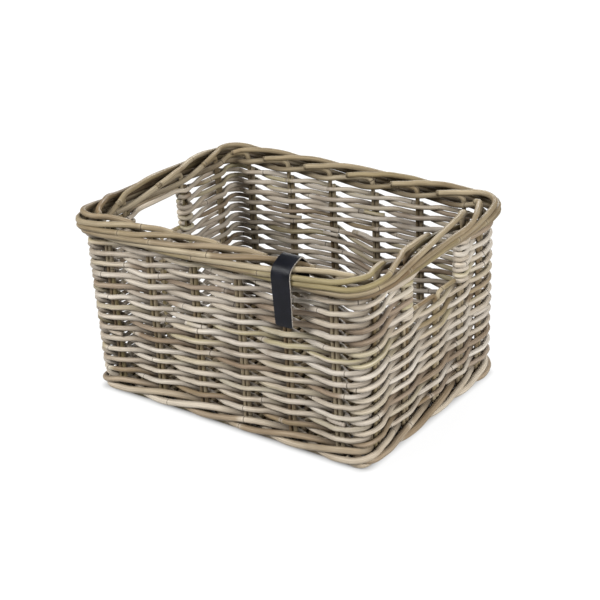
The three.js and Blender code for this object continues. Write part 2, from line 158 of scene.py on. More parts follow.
def makeCaneSkin():
    tree = bpy.data.node_groups.new("cane_skin", "ShaderNodeTree")
    for name in ("Pale", "Middle", "Olive", "Brown"):
        tree.interface.new_socket(name, in_out="INPUT", socket_type="NodeSocketColor")
    for name in ("Joints per metre", "Weathering"):
        tree.interface.new_socket(name, in_out="INPUT", socket_type="NodeSocketFloat")
    tree.interface.new_socket("Colour", in_out="OUTPUT", socket_type="NodeSocketColor")
    for name in ("Roughness", "Height"):
        tree.interface.new_socket(name, in_out="OUTPUT", socket_type="NodeSocketFloat")
    given = addNode(tree, "NodeGroupInput").outputs
    cane = addNode(tree, "ShaderNodeAttribute", attribute_name="cane").outputs["Vector"]
    along = addNode(tree, "ShaderNodeSeparateXYZ", {"Vector": cane}).outputs["X"]

    def stretched(name, detail, seed):
        placed = {"Vector": cane, "Scale": caneLook[name], "Location": (seed, seed, seed)}
        moved = addNode(tree, "ShaderNodeMapping", placed)
        return addNoise(tree, moved.outputs[0], 1.0, detail, Roughness=caneLook["noiseRoughness"])

    def mark(value, name, low=0.0, high=1.0):
        return spread(tree, value, *caneLook[name], low, high)

    def times(value, share):
        return calculate(tree, "MULTIPLY", value, share)

    def part(value, name):
        return times(value, caneLook[name])

    toned = {"W": along, "Scale": caneLook["toneScale"], "Detail": 1.0}
    slow = addNode(tree, "ShaderNodeTexNoise", toned, noise_dimensions="1D").outputs[0]
    cells = {"W": along, "Scale": given["Joints per metre"], "Randomness": 1.0}
    blended = {**cells, "Smoothness": caneLook["jointBlend"]}
    joint = addNode(tree, "ShaderNodeTexVoronoi", blended, voronoi_dimensions="1D", feature="SMOOTH_F1")
    rings = addNode(tree, "ShaderNodeTexVoronoi", cells, voronoi_dimensions="1D", feature="DISTANCE_TO_EDGE")
    edge = rings.outputs["Distance"]
    toEdge = calculate(tree, "DIVIDE", edge, given["Joints per metre"])
    tones = addNode(tree, "ShaderNodeSeparateColor", {"Color": joint.outputs["Color"]}).outputs
    patches = stretched("patches", 2.0, 3.1)
    streaks = stretched("streaks", 3.0, 7.7)
    fibres = stretched("fibres", 2.0, 1.3)
    cracks = stretched("cracks", 1.0, 9.2)
    # a noise for the dirt, which also varies the painted shade a little
    grimeAndShadeNoise = addNoise(tree, placeOn(tree), caneLook["grimeAndShadeNoiseScale"], 3.0, Roughness=caneLook["noiseRoughness"])
    # the tone of one length of cane, then of one stretch between two joints, then patches of it
    lightness = calculate(tree, "ADD", part(slow, "slowShare"), part(tones[0], "jointShare"))
    lightness = calculate(tree, "ADD", lightness, part(patches, "patchShare"))
    colour = mixColour(tree, mark(lightness, "paleFrom"), given["Middle"], given["Pale"])
    olive = times(mark(tones[1], "oliveJoints"), mark(patches, "olivePatches"))
    colour = mixColour(tree, part(olive, "oliveShare"), colour, given["Olive"])
    brown = mark(tones[2], "brownJoints")
    colour = mixColour(tree, part(brown, "brownShare"), colour, given["Brown"])
    dirt = times(mark(grimeAndShadeNoise, "dirtFrom"), given["Weathering"])
    colour = mixColour(tree, part(dirt, "dirtShare"), colour, given["Brown"])
    # lengthwise grain, with a few dark cracks
    grain = mark(streaks, "noiseFrom", *caneLook["grainShade"])
    grain = calculate(tree, "ADD", grain, mark(fibres, "noiseFrom", *caneLook["fibreShade"]))
    shade = {0: colour, "Scale": grain}
    shaded = addNode(tree, "ShaderNodeVectorMath", shade, operation="SCALE").outputs[0]
    crack = times(mark(cracks, "crackFrom"), given["Weathering"])
    shaded = mixColour(tree, part(crack, "crackShare"), shaded, given["Brown"])
    # joints: a dark thin ring, with a paler lip beside it
    lip = mark(toEdge, "lipFrom", 1.0, 0.0)
    shaded = mixColour(tree, part(lip, "lipShare"), shaded, given["Pale"])
    ring = mark(toEdge, "ringFrom", 1.0, 0.0)
    shaded = mixColour(tree, part(ring, "ringShare"), shaded, paint(*caneLook["ringTint"]))
    # painted shade: darker where it lies deep in the weave, standing in for the shade the weave casts there
    paintedShade = addNode(tree, "ShaderNodeAttribute", attribute_name="paintedShade").outputs["Fac"]
    paintedShadeShare = times(paintedShade, mark(grimeAndShadeNoise, "noiseFrom", *caneLook["paintedShadeNoise"]))
    deep = mixColour(tree, 1.0, shaded, paint(*caneLook["paintedShadeTint"]), "MULTIPLY")
    shaded = mixColour(tree, paintedShadeShare, shaded, deep)
    height = part(streaks, "streakRelief")
    for value, name in ((fibres, "fibre"), (lip, "lip"), (ring, "ring"), (crack, "crack")):
        height = calculate(tree, "ADD", height, part(value, name + "Relief"))
    rough = mark(streaks, "noiseFrom", *caneLook["roughness"])
    addNode(tree, "NodeGroupOutput", {"Colour": shaded, "Roughness": rough, "Height": height})
    return tree


caneSkin = makeCaneSkin()

rattan = {  # finish of each kind of strand
    "weaver": {
        "Pale": (201, 193, 181), "Middle": (186, 174, 156), "Olive": (162, 152, 112), "Brown": (122, 99, 73),
        "Joints per metre": 4.0, "Weathering": 0.9,
    },
    "stake": {
        "Pale": (172, 159, 134), "Middle": (138, 123, 96), "Olive": (134, 122, 84), "Brown": (104, 83, 58),
        "Joints per metre": 6.5, "Weathering": 1.0,
    },
    "foot": {
        "Pale": (206, 195, 178), "Middle": (168, 153, 130), "Olive": (148, 138, 96), "Brown": (138, 118, 92),
        "Joints per metre": 4.0, "Weathering": 1.0,
    },
    "base": {
        "Pale": (188, 171, 143), "Middle": (150, 133, 104), "Olive": (138, 126, 88), "Brown": (110, 88, 63),
        "Joints per metre": 5.0, "Weathering": 1.0,
    },
}


def makeRattan(name, finish):
    material, tree, shader = newMaterial(name)
    values = {key: paint(*value) if isinstance(value, tuple) else value for key, value in finish.items()}
    skin = addNode(tree, "ShaderNodeGroup", values, node_tree=caneSkin).outputs
    feed(tree, shader, {
        "Base Color": skin["Colour"],
        "Roughness": skin["Roughness"],
        "Normal": addBump(tree, skin["Height"], caneLook),
        "Specular IOR Level": caneLook["specular"],
    })
    return material


cutLook = {
    "dark": (150, 128, 96),
    "pale": (206, 188, 156),
    "fibreFrom": (0.3, 0.7),
    "fibreScale": 420.0,
    "pore": (70, 52, 36),
    "poreEdge": (0.16, 0.3),
    "poreScale": 1500.0,
    "poreShare": 0.85,
    "bump": 0.7,
    "bumpDepth": 0.0006,
    "roughness": 0.8,
}


def makeCutEnd():
    material, tree, shader = newMaterial("rattan_cut_end")
    place = placeOn(tree)
    holes = {"Vector": place, "Scale": cutLook["poreScale"]}
    pores = addNode(tree, "ShaderNodeTexVoronoi", holes).outputs["Distance"]
    fibre = addNoise(tree, place, cutLook["fibreScale"], 3.0)
    paleness = spread(tree, fibre, *cutLook["fibreFrom"])
    colour = mixColour(tree, paleness, paint(*cutLook["dark"]), paint(*cutLook["pale"]))
    hollow = spread(tree, pores, *cutLook["poreEdge"], cutLook["poreShare"], 0.0)
    colour = mixColour(tree, hollow, colour, paint(*cutLook["pore"]))
    bump = addBump(tree, pores, cutLook)
    feed(tree, shader, {"Base Color": colour, "Roughness": cutLook["roughness"], "Normal": bump})
    return material


finishes = {kind: makeRattan(kind + "_rattan", rattan[kind]) for kind in rattan}
cutEnd = makeCutEnd()
print("materials: cane skin, four rattans, cut ends")

# Strands: each is a curve through stations, swept round and made a mesh. A station is (place, radius, shade),
# and its shade says how much painted shade darkens the strand on its outer and on its inner side

strand = {
    "sides": 3,
    "steps": 2,
    "seed": 11,
    "offsets": 60.0,  # each strand is cut from another stretch of cane, in metres
    "swell": 0.13,  # a strand gets thicker and thinner on its way
    "swellRate": 0.33,
    "swellStarts": 900.0,
    "swellApart": 3.3,
}
caneOffsets = random.Random(strand["seed"])


def makeCane(name, stations, kind, replaced=(), steps=strand["steps"], sides=strand["sides"]):
    curve = bpy.data.curves.new(name, "CURVE")
    curve.dimensions = "3D"
    curve.bevel_depth = mm
    curve.bevel_resolution = sides
    curve.resolution_u = steps
    curve.use_fill_caps = True
    spline = curve.splines.new("BEZIER")
    spline.bezier_points.add(len(stations) - 1)
    for point, (place, radius, _) in zip(spline.bezier_points, stations):
        point.co = place * mm
        point.radius = radius
        point.handle_left_type = point.handle_right_type = "AUTO"
    sweep = bpy.data.objects.new(name, curve)
    scene.collection.objects.link(sweep)
    mesh = bpy.data.meshes.new_from_object(sweep.evaluated_get(bpy.context.evaluated_depsgraph_get()))
    bpy.data.objects.remove(sweep)
    bpy.data.curves.remove(curve)
    rings = (len(stations) - 1) * steps + 1
    around = len(mesh.vertices) // (rings + 2)  # each end cap has a ring of its own
    places = np.zeros(len(mesh.vertices) * 3)
    mesh.vertices.foreach_get("co", places)
    places = places.reshape(rings + 2, around, 3)
    middles = places.mean(axis=1)
    gaps = np.linalg.norm(np.diff(middles[:rings], axis=0), axis=1)
    along = np.concatenate([[0], np.cumsum(gaps), [0, gaps.sum()]])
    along = along + caneOffsets.uniform(0, strand["offsets"])
    spokes = places - middles[:, None]
    radii = np.linalg.norm(spokes, axis=2)
    angles = np.arange(around) * 2 * math.pi / around
    lengths = np.repeat(along[:, None], around, axis=1)
    cane = np.stack([lengths, radii * np.cos(angles), radii * np.sin(angles)], axis=2)
    mesh.attributes.new("cane", "FLOAT_VECTOR", "POINT").data.foreach_set("vector", cane.ravel())
    # painted shade on each vertex, blended from the stations' values for the outer and the inner side
    paintedShades = np.array([paintedShade for _, _, paintedShade in stations])
    shares = np.linspace(0, len(stations) - 1, rings)
    shares = np.concatenate([shares, shares[[0, -1]]])
    outside, inside = (np.interp(shares, np.arange(len(stations)), side)[:, None] for side in paintedShades.T)
    facing = (spokes[:, :, :2] * outwardOf(middles)[:, None]).sum(axis=2) / radii
    paintedShade = inside + (outside - inside) * (facing + 1) / 2
    mesh.attributes.new("paintedShade", "FLOAT", "POINT").data.foreach_set("value", paintedShade.ravel())
    made = bmesh.new()
    made.from_mesh(mesh)
    bmesh.ops.remove_doubles(made, verts=made.verts, dist=1e-7)
    made.to_mesh(mesh)
    made.free()
    mesh.materials.append(finishes[kind])
    mesh.materials.append(cutEnd)
    sharp = set()
    for face in mesh.polygons:
        isEnd = len(face.vertices) > 4
        face.use_smooth = not isEnd
        face.material_index = int(isEnd)
        if isEnd:
            sharp.update(face.edge_keys)
    for line in mesh.edges:
        line.use_edge_sharp = line.key in sharp
    return addPiece(name, mesh, replaced)


def addPiece(name, mesh, replaced=()):
    piece = bpy.data.objects.new("fine_" + name, mesh)
    scene.collection.objects.link(piece)
    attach(piece, "root")
    if replaced:
        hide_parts(*replaced)
    return piece


# The wall: a rounded rectangle in plan that leans out, with places along it counted in stakes

wall = {
    "halfLength": 177.7,
    "halfDepth": 125.2,
    "leanLength": 4.0,
    "leanDepth": 1.5,
    "cornerRadius": 18.0,
    "rimHeight": 198.2,
    "lastFront": 149.7,  # last stake of a long wall, from its middle
    "lastEnd": 101.2,  # last stake of an end wall
    "rightHole": (-48.5, 12.0, 62.0),  # stakes at a hand hole: one edge, the sill, the other edge
    "leftHole": (-37.0, 12.0, 61.5),
    "frontStakes": 6,
    # how far the rows drift up and down and the stakes sideways, how wide and tall a drift is, and a seed
    "rowDrift": (2.2, 62.0, 55.0, 9),
    "stakeDrift": (1.6, 40.0, 90.0, 0),
    "driftHeights": (22.0, 194.0),  # none below and above
    "driftFade": 40.0,
}


class Outline:
    def __init__(self, halfLength, halfDepth, radius):
        self.radius = radius
        self.away = (halfDepth, halfLength)  # of a long side and of an end, from the middle
        self.straight = (halfLength - radius, halfDepth - radius)
        self.quarter = self.straight[0] + radius * math.pi / 2 + self.straight[1]

    def lengthOf(self, side, offset):
        straight = self.straight[side % 2]
        past = max(0, abs(offset) - straight)
        turned = self.radius * math.asin(min(1, past / self.radius))
        return side * self.quarter + math.copysign(min(abs(offset), straight) + turned, offset)

    def place(self, length):
        side = math.floor(length / self.quarter + 0.5)
        beyond = length - side * self.quarter
        if abs(beyond) > self.straight[side % 2] + self.radius * math.pi / 4:
            side += 1 if beyond > 0 else -1
        offset = length - side * self.quarter
        straight, away = self.straight[side % 2], self.away[side % 2]
        angle = max(0, abs(offset) - straight) / self.radius
        along = min(abs(offset), straight) + self.radius * math.sin(angle)
        turn = Matrix.Rotation(side * math.pi / 2, 3, "Z")
        point = Vector((math.copysign(along, offset), self.radius * (1 - math.cos(angle)) - away, 0))
        outward = Vector((math.copysign(math.sin(angle), offset), -math.cos(angle), 0))
        return turn @ point, turn @ outward


lastFront, lastEnd, leftHole = wall["lastFront"], wall["lastEnd"], wall["leftHole"]
frontOffsets = [lastFront * (2 * i / (wall["frontStakes"] - 1) - 1) for i in range(wall["frontStakes"])]
columns = [(-1, leftHole[2]), (-1, lastEnd)]
columns += [(0, offset) for offset in frontOffsets]
columns += [(1, offset) for offset in (-lastEnd, *wall["rightHole"], lastEnd)]
columns += [(2, offset) for offset in frontOffsets]
columns += [(3, offset) for offset in (-lastEnd, *leftHole[:2])]
aroundCount = len(columns)
halfCount = aroundCount // 2
sillColumns = [halfCount - 1, aroundCount - 1]
holeEdges = [0, halfCount - 2]
rimColumns = [column for i, column in enumerate(columns) if i not in sillColumns]


def lengthAt(outline, places, position):
    index = math.floor(position)
    turns, index = divmod(index, len(places))
    start = outline.lengthOf(*places[index])
    if index + 1 < len(places):
        end = outline.lengthOf(*places[index + 1])
    else:
        end = outline.lengthOf(*places[0]) + 4 * outline.quarter
    return start + (end - start) * (position - math.floor(position)) + turns * 4 * outline.quarter


def driftAt(name, fade, point, height):
    size, wide, tall, seed = wall[name]
    return fade * size * noise.noise(Vector((point.x / wide, point.y / wide, height / tall + seed)))


def wallPoint(position, step, out, height, drift=1.0):
    share = height / wall["rimHeight"]
    outline = Outline(
        wall["halfLength"] + wall["leanLength"] * share,
        wall["halfDepth"] + wall["leanDepth"] * share,
        wall["cornerRadius"],
    )
    length = lengthAt(outline, columns, position) + step
    point = outline.place(length)[0]
    low, high = wall["driftHeights"]
    fade = drift
    for room in (height - low, high - height):
        fade = fade * min(1, max(0, room / wall["driftFade"]))
    point, outward = outline.place(length + driftAt("stakeDrift", fade, point, height))
    rise = driftAt("rowDrift", fade, point, height)
    point += outward * out
    point.z = height + rise
    return point


def outwardOf(points):
    straight = np.array([wall["halfLength"], wall["halfDepth"]]) - wall["cornerRadius"]
    away = points[:, :2] - np.clip(points[:, :2], -straight * mm, straight * mm)
    return away / np.maximum(np.linalg.norm(away, axis=1, keepdims=True), 1e-9)


def isCorner(position):
    index = math.floor(position)
    return columns[index % aroundCount][0] % 2 != columns[(index + 1) % aroundCount][0] % 2


# Side weave: two strands that twist round each other between the stakes

weave = {
    "radius": 2.82,
    "radiusSpread": 0.3,
    "out": 5.4,  # how far out a strand passes a stake
    "cornerOut": 6.5,
    "cornerBulge": 4.6,
    "rise": 3.15,  # half the height between two strands that cross
    "straightness": 0.995,  # 0 for round waves, 1 for straight lines between the bends
    "firstRow": 30.82,
    "rowPitch": 12.82,
    "lowerRows": 9,
    "upperRows": 3,
    "lengths": 5,
    "joinIndex": 16,  # the stake where the rows begin
    "startGap": 0.04,
    "lastEnds": (0.4, 0.9),  # how far before the join the two last lengths end
    "lastClimb": 0.3,
    "rootLength": 0.72,
    "jitter": 0.3,
    "seed": 100,
    "sizeSeed": 40,
    "pointsPerStake": 6,
    # painted shade: how fast a strand is painted dark behind a stake, and how dark the inside is painted at
    # the floor
    "paintedShadeFall": 2.2,  # how fast a strand gets dark on its way behind a stake
    "deepest": 0.78,  # how dark the inside is at the floor
    "brightHeight": 330.0,
}


def wave(value):
    return math.asin(weave["straightness"] * value) / math.asin(weave["straightness"])


def reachOf(settings, position):
    nearCorner = isCorner(position) or isCorner(position - 1)
    return settings["cornerOut"] if nearCorner else settings["out"]


def strandPlace(position, phase, height, wobble):
    index = math.floor(position)
    share = position - index
    turn = math.pi * (position + phase)
    reach = reachOf(weave, index) * (1 - share) + reachOf(weave, index + 1) * share
    bulge = weave["cornerBulge"] * math.sin(math.pi * share) ** 2 if isCorner(position) else 0
    out = reach * wave(math.cos(turn)) + bulge + shake(wobble, 1) * weave["jitter"]
    rise = weave["rise"] * wave(math.sin(turn)) + shake(wobble, 1) * weave["jitter"]
    return wallPoint(position, 0, out, height + rise)


# Painted shade: a strand's side facing into the weave is painted darker the deeper it lies, and inside darker
# towards the floor
def strandPaintedShade(position, phase, height):
    out = wave(math.cos(math.pi * (position + phase)))
    outside, inside = ((0.5 + 0.5 * side) ** weave["paintedShadeFall"] for side in (-out, out))
    return outside, max(inside, deepPaintedShade(height))


def deepPaintedShade(height):
    share = min(1, max(0, (weave["brightHeight"] - height) / weave["brightHeight"]))
    return weave["deepest"] * share


def rowHeight(row):
    return weave["firstRow"] + weave["rowPitch"] * row


def climbHeight(position):
    rounds = (position - weave["joinIndex"]) / aroundCount
    whole = math.floor(rounds)
    climb = max(0, (rounds - whole) * aroundCount - (aroundCount - 1))
    return rowHeight(min(whole + climb, weave["lowerRows"] - 1 + weave["lastClimb"]))


def steps(start, end, perStake):
    count = round((end - start) * perStake)
    return [start + i / perStake for i in range(count + 1)]


def shake(chance, size):
    return chance.uniform(-size, size)


def thickness(settings, seed):
    chance = random.Random(seed)
    size = settings["radius"] + shake(chance, 1) * settings["radiusSpread"]
    start = chance.uniform(0, strand["swellStarts"])

    def radiusAt(position):
        place = Vector((position * strand["swellRate"] + start, seed * strand["swellApart"], 0))
        return size * (1 + strand["swell"] * noise.noise(place))

    return radiusAt


def makeSideWeavers():
    share = weave["lowerRows"] * halfCount / weave["lengths"]
    for i in range(weave["lengths"]):
        begin, finish = 2 * round(i * share), 2 * round((i + 1) * share)
        for phase, kind in enumerate(("outer", "inner")):
            start = weave["joinIndex"] + 1 - phase + begin
            end = weave["joinIndex"] + 1 - phase + finish
            if i == 0:  # comes up out of the foot
                start = weave["joinIndex"] - weave["rootLength"]
            if i == weave["lengths"] - 1:
                end = weave["joinIndex"] + finish - weave["lastEnds"][phase]
            wobble = random.Random(weave["seed"] + 2 * i + phase)
            radius = thickness(weave, weave["sizeSeed"] + 2 * i + phase)
            stations = []
            for p in steps(start + weave["startGap"], end, weave["pointsPerStake"]):
                height = climbHeight(p)
                place = strandPlace(p, phase, height, wobble)
                stations.append((place, radius(p), strandPaintedShade(p, phase, height)))
            name = f"side_weaver_{i + 1}_{kind}"
            makeCane(name, stations, "weaver", [name])
    print("side weavers: ten long strands")


# Top row: one strand pair all the way round. Over a hand hole both lie side by side under the border

topRow = {
    "lift": 3.6,
    "out": 6.0,
    "pressIn": 2.8,
    "bend": 3.0,  # how sharply it rises at the edge of a hole
    "seed": 200,
    "sizeSeed": 60,
}


def makeTopWeavers():
    height = rowHeight(weave["lowerRows"] + weave["upperRows"])
    for phase, kind in enumerate(("outer", "inner")):
        start = weave["joinIndex"] + 1 - phase
        wobble = random.Random(topRow["seed"] + phase)
        radius = thickness(weave, topRow["sizeSeed"] + phase)
        stations = []
        for p in steps(start + weave["startGap"], start + aroundCount, weave["pointsPerStake"]):
            place = strandPlace(p, phase, height, wobble)
            hole = min(sillColumns, key=lambda column: abs(p % aroundCount - column))
            lift = min(1, max(0, (1 - abs(p % aroundCount - hole)) * topRow["bend"]))
            if lift > 0:
                side = -math.cos(math.pi * (hole + phase))
                out = side * (topRow["out"] - topRow["pressIn"] * lift)
                lifted = wallPoint(p, 0, out, height + topRow["lift"] * lift, 0)
                place = place.lerp(lifted, min(1, lift * topRow["bend"]))
            # less painted shade where the strands lift clear of the weave over a hole
            paintedShade = [dark * (1 - lift) for dark in strandPaintedShade(p, phase, height)]
            stations.append((place, radius(p), paintedShade))
        replaced = [f"{side}_top_weaver_{kind}" for side in ("front", "right", "back", "left")]
        makeCane(f"top_weaver_{kind}", stations, "weaver", replaced)
    print("top row: two strands")


# Upper rows: a strand is folded round the stake at one hand hole, and tucked in at the other

diagonal = math.sqrt(0.5)
upper = {
    "wrap": 8.6,  # from the middle of the stake
    # along the wall and out, as shares of the wrap and of the row's reach
    "fold": [(diagonal, diagonal), (1, 0), (diagonal, -diagonal)],
    "tuck": [(diagonal, diagonal), (1, 0), (0.8, -0.7)],
    "seed": 300,
    "sizeSeed": 70,
}


def makeUpperWeavers():
    for w, side in enumerate(("front", "back")):
        first, last = (edge + w * halfCount for edge in holeEdges)
        for row in range(weave["upperRows"]):
            height = rowHeight(weave["lowerRows"] + row)
            forward = row % 2 == 0
            fold, tuck = (first, last) if forward else (last, first)
            holeSide = -1 if forward else 1
            outerPhase = fold % 2
            wobble = random.Random(upper["seed"] + 7 * w + row)
            radius = thickness(weave, upper["sizeSeed"] + 3 * w + row)

            def run(phase):
                places = steps(first, last, weave["pointsPerStake"])
                made = [(strandPlace(p, phase, height, wobble), strandPaintedShade(p, phase, height)) for p in places]
                return made if forward else made[::-1]

            def turnPlace(column, step, out):
                return wallPoint(column, step * upper["wrap"], out * reachOf(weave, column), height), (0, 0)

            foldTurn = [turnPlace(fold, holeSide * step, out) for step, out in upper["fold"]]
            tuckTurn = [turnPlace(tuck, -holeSide * step, out) for step, out in upper["tuck"]]
            outer, inner = run(outerPhase), run(1 - outerPhase)
            if (tuck + outerPhase) % 2 == 0:
                outer = outer + tuckTurn
            else:
                inner = inner + tuckTurn
            stations = []
            for i, (place, paintedShade) in enumerate(outer[::-1] + foldTurn + inner):
                stations.append((place, radius(i / weave["pointsPerStake"]), paintedShade))
            name = f"{side}_upper_weaver_{row + 1}"
            makeCane(name, stations, "weaver", [name])
    print("upper weavers: three rows on the front and the back")


# Hole edges: between the rows, loops of cane round the stakes beside a hand hole

loop = {
    "radius": 2.75,
    "endShare": 0.8,  # thinner at its two ends
    "along": 7.9,
    "out": 5.6,
    "rise": 1.1,
    "jitter": 0.25,
    "points": 14,
    "gap": 0.2,  # between its ends, in points
    # painted shade on its outer and its inner side
    "paintedShade": (0.15, 0.4),
    "seed": 350,
}


def makeHoleLoops():
    edges = [  # the stake, and which way leads away from the hole
        ("left_front", 0, 1),
        ("right_front", halfCount - 2, -1),
        ("right_back", halfCount, 1),
        ("left_back", aroundCount - 2, -1),
    ]
    for edge, column, away in edges:
        for row in range(weave["upperRows"] + 1):
            height = rowHeight(weave["lowerRows"] + row - 0.5)
            chance = random.Random(loop["seed"] + 10 * column + row)
            stations = []
            for i in range(loop["points"] + 1):
                turn = 2 * math.pi * (i + loop["gap"]) / (loop["points"] + 2 * loop["gap"])
                step = away * loop["along"] * math.cos(turn)
                rise = loop["rise"] * math.sin(turn) + shake(chance, loop["jitter"])
                size = loop["radius"] * (loop["endShare"] if i in (0, loop["points"]) else 1)
                place = wallPoint(column, step, loop["out"] * math.sin(turn), height + rise)
                stations.append((place, size, loop["paintedShade"]))
            makeCane(f"hole_loop_{edge}_{row + 1}", stations, "weaver")
    print("hole edges: sixteen loops")


# Weaver ends: where one length of cane ran out, its end was left beside a stake between two rows

weaverEnd = {
    "radius": 2.35,
    "height": 6.4,  # above the row under it
    # along the wall, away from the stake and up, from the hidden end to the cut one
    "bend": [(-13, 0.8, -1.2), (-8, 3.2, -0.6), (-3, 4.9, 0), (2, 5.5, 0.3), (7, 6.2, 0.8), (11, 7.2, 1.4)],
    # stake, row, and which way the end points
    "inside": [
        (17, 8, 1), (16, 7, -1), (14, 8, -1), (15, 10, 1), (18, 6, -1), (13, 10, 1), (20, 5, 1), (5, 7, 1),
    ],
    "outside": [(7, 1, 1), (4, 6, -1), (2, 3, 1), (12, 4, 1), (16, 2, -1)],
    # painted shade: of an inside end behind the weave, and on the outer and inner side of an outside end
    "paintedShadeBehind": 0.7,  # of an inside end
    "paintedShadeOutside": (0.1, 0.8),
}


def makeWeaverEnds():
    insideCount = len(weaverEnd["inside"])
    for i, (column, row, way) in enumerate(weaverEnd["inside"] + weaverEnd["outside"]):
        height = rowHeight(row) + weaverEnd["height"]
        isInside = i < insideCount
        paintedShade = (weaverEnd["paintedShadeBehind"], deepPaintedShade(height)) if isInside else weaverEnd["paintedShadeOutside"]
        stations = []
        for step, out, rise in weaverEnd["bend"]:
            place = wallPoint(column, way * step, -out if isInside else out, height + rise)
            stations.append((place, weaverEnd["radius"], paintedShade))
        makeCane(f"weaver_end_{i + 1}", stations, "weaver", steps=3)
    print("weaver ends: thirteen")


# Foot: three thicker strands, each outside two stakes and inside the third

foot = {
    "radius": 3.75,
    "radiusSpread": 0.25,
    "height": 14.8,
    "rise": 4.1,
    "out": 6.2,
    "cornerOut": 6.4,
    "cornerBulge": 1.5,
    "lowOut": 0.8,  # the low pass lies outside the base sticks
    "lowRise": -6.4,
    "betweenOut": (1.0, 0.5, 3.2),  # half way to the next stake, the first from the reach
    "betweenRise": (-1.6, 4.1, -5.8),
    # painted shade on the outer and inner side, at a stake for each of a strand's three passes, and between
    # stakes
    "paintedShade": [(0, 0.9), (0, 0.9), (0.8, 0.5)],
    "betweenPaintedShade": (0.15, 0.8),
    "strands": 3,
    "pointsPerStake": 2,
    "startGap": 0.08,
    "sizeSeed": 90,
}


def makeFoot():
    lanes = foot["strands"]
    start = weave["joinIndex"]
    for lane in range(lanes):
        radius = thickness(foot, foot["sizeSeed"] + lane)
        stations = []
        for position in steps(start + foot["startGap"], start + aroundCount, foot["pointsPerStake"]):
            turn = (math.floor(position) + lane) % lanes
            atStake = position % 1 < 0.5
            reach = reachOf(foot, position)
            bulge = foot["cornerBulge"] if isCorner(position) and not atStake else 0
            if atStake:
                out = [reach + foot["lowOut"], reach, -reach][turn]
                rise = [foot["lowRise"], foot["rise"], 0][turn]
                paintedShade = foot["paintedShade"][turn]
            else:
                out = foot["betweenOut"][turn] + (reach if turn == 0 else 0)
                rise = foot["betweenRise"][turn]
                paintedShade = foot["betweenPaintedShade"]
            place = wallPoint(position, 0, out + bulge, foot["height"] + rise)
            stations.append((place, radius(position), paintedShade))
        name = f"foot_strand_{lane + 1}"
        makeCane(name, stations, "foot", [name], steps=6, sides=4)
    print("foot: three strands")


# Corner loops: a short bend of cane that sticks out under the foot at each corner

cornerLoop = {
    "radius": 3.1,
    "out": 3.4,
    # along the wall and up
    "bend": [(-15, 10.5), (-11.5, 6.2), (-6.5, 3.6), (0, 3.1), (6.5, 3.6), (11.5, 6.2), (15, 10.5)],
    "tuckIn": 0.35,
    "jitter": 0.4,
    # painted shade on its outer and its inner side
    "paintedShade": (0, 0.7),
    "seed": 640,
}


def makeCornerLoops():
    corners = [index + 0.5 for index in range(aroundCount) if isCorner(index)]
    for i, position in enumerate(corners):
        chance = random.Random(cornerLoop["seed"] + i)
        stations = []
        for step, height in cornerLoop["bend"]:
            tuck = cornerLoop["tuckIn"] * abs(step) ** 0.5
            out = cornerLoop["out"] + shake(chance, cornerLoop["jitter"]) - tuck
            place = wallPoint(position, step, out, height, 0)
            stations.append((place, cornerLoop["radius"], cornerLoop["paintedShade"]))
        makeCane(f"corner_loop_{i + 1}", stations, "foot", steps=5, sides=4)
    print("corner loops: four")


# Stakes: one rod folded at the foot. One end makes the border, the other is cut under it

stake = {
    "radius": 2.35,
    "legOffset": 2.6,
    "footHeight": 10.9,
    "rimBottom": 191.5,
    "legStart": 6.0,  # above the fold
    "legTrim": 8.0,  # shorter than from the fold to the border
    "legPoints": 9,
    # painted shade of the legs, on their outer and inner side
    "paintedShade": (0.26, 0.68),
    # into the border: along, out, up from its underside, thicker by, and how dark its painted shade is
    "bend": [(0, -0.2, 6, 1.1, (0.7, 0.4)), (0.6, -0.7, 11.5, 1.2, (0.7, 0.2))],
    "seed": 500,
}
border = {
    "halfLength": 184.2,  # line through its middle
    "halfDepth": 129.2,
    "cornerRadius": 29.0,
    "cornerBulge": 2.5,
    "rodRadius": 3.15,
    "rodSpread": 0.2,
    "swell": 0.07,
    "swellCell": (1.3, 5.1, 4),
    "jitter": 0.35,
    # stakes passed, out from the middle and up from the underside: the bend at the top of the stake,
    # behind one stake, under the others to the outside, in front of four stakes, over the top, cut inside
    "lay": [
        (0.12, -4.5, 15.0), (0.3, -7.2, 15.4), (0.5, -8.6, 13.6), (0.75, -9.4, 10.4), (1, -8.8, 6.8),
        (1.25, -6, 4.4), (1.5, -1.8, 3.2), (2, 5, 3.2), (2.5, 9, 4.2), (3, 11.6, 6.2), (3.5, 12.8, 8.8),
        (4, 13, 11.8), (4.5, 12.6, 14.2), (5, 11, 17), (5.25, 8.8, 19.2), (5.5, 5.2, 20.8), (5.75, 0.8, 21.2),
        (6, -4, 20.4), (6.2, -7.6, 19.3), (6.4, -10.2, 17.6), (6.54, -11.4, 16.2),
    ],
    # stakes passed, how dark the outer side is painted, and the inner side, as painted shade
    "paintedShade": [
        (0, 0.8, 0.2), (1, 0.9, 0.2), (1.6, 0.7, 0.7), (2.4, 0.15, 0.9), (4.5, 0, 0.9), (5.5, 0, 0.3),
        (6.2, 0.1, 0), (6.7, 0.2, 0),
    ],
}
borderOutline = Outline(border["halfLength"], border["halfDepth"], border["cornerRadius"])


def borderPlace(position, out, rise):
    point, outward = borderOutline.place(lengthAt(borderOutline, rimColumns, position))
    index = math.floor(position)
    sides = [rimColumns[i % len(rimColumns)][0] for i in (index, index + 1)]
    bulge = border["cornerBulge"] * math.sin(math.pi * (position - index)) if sum(sides) % 2 else 0
    return point + outward * (out + bulge) + upward * (stake["rimBottom"] + rise)


def borderPaintedShade(passed):
    marks, outside, inside = zip(*border["paintedShade"])
    return np.interp(passed, marks, outside), np.interp(passed, marks, inside)


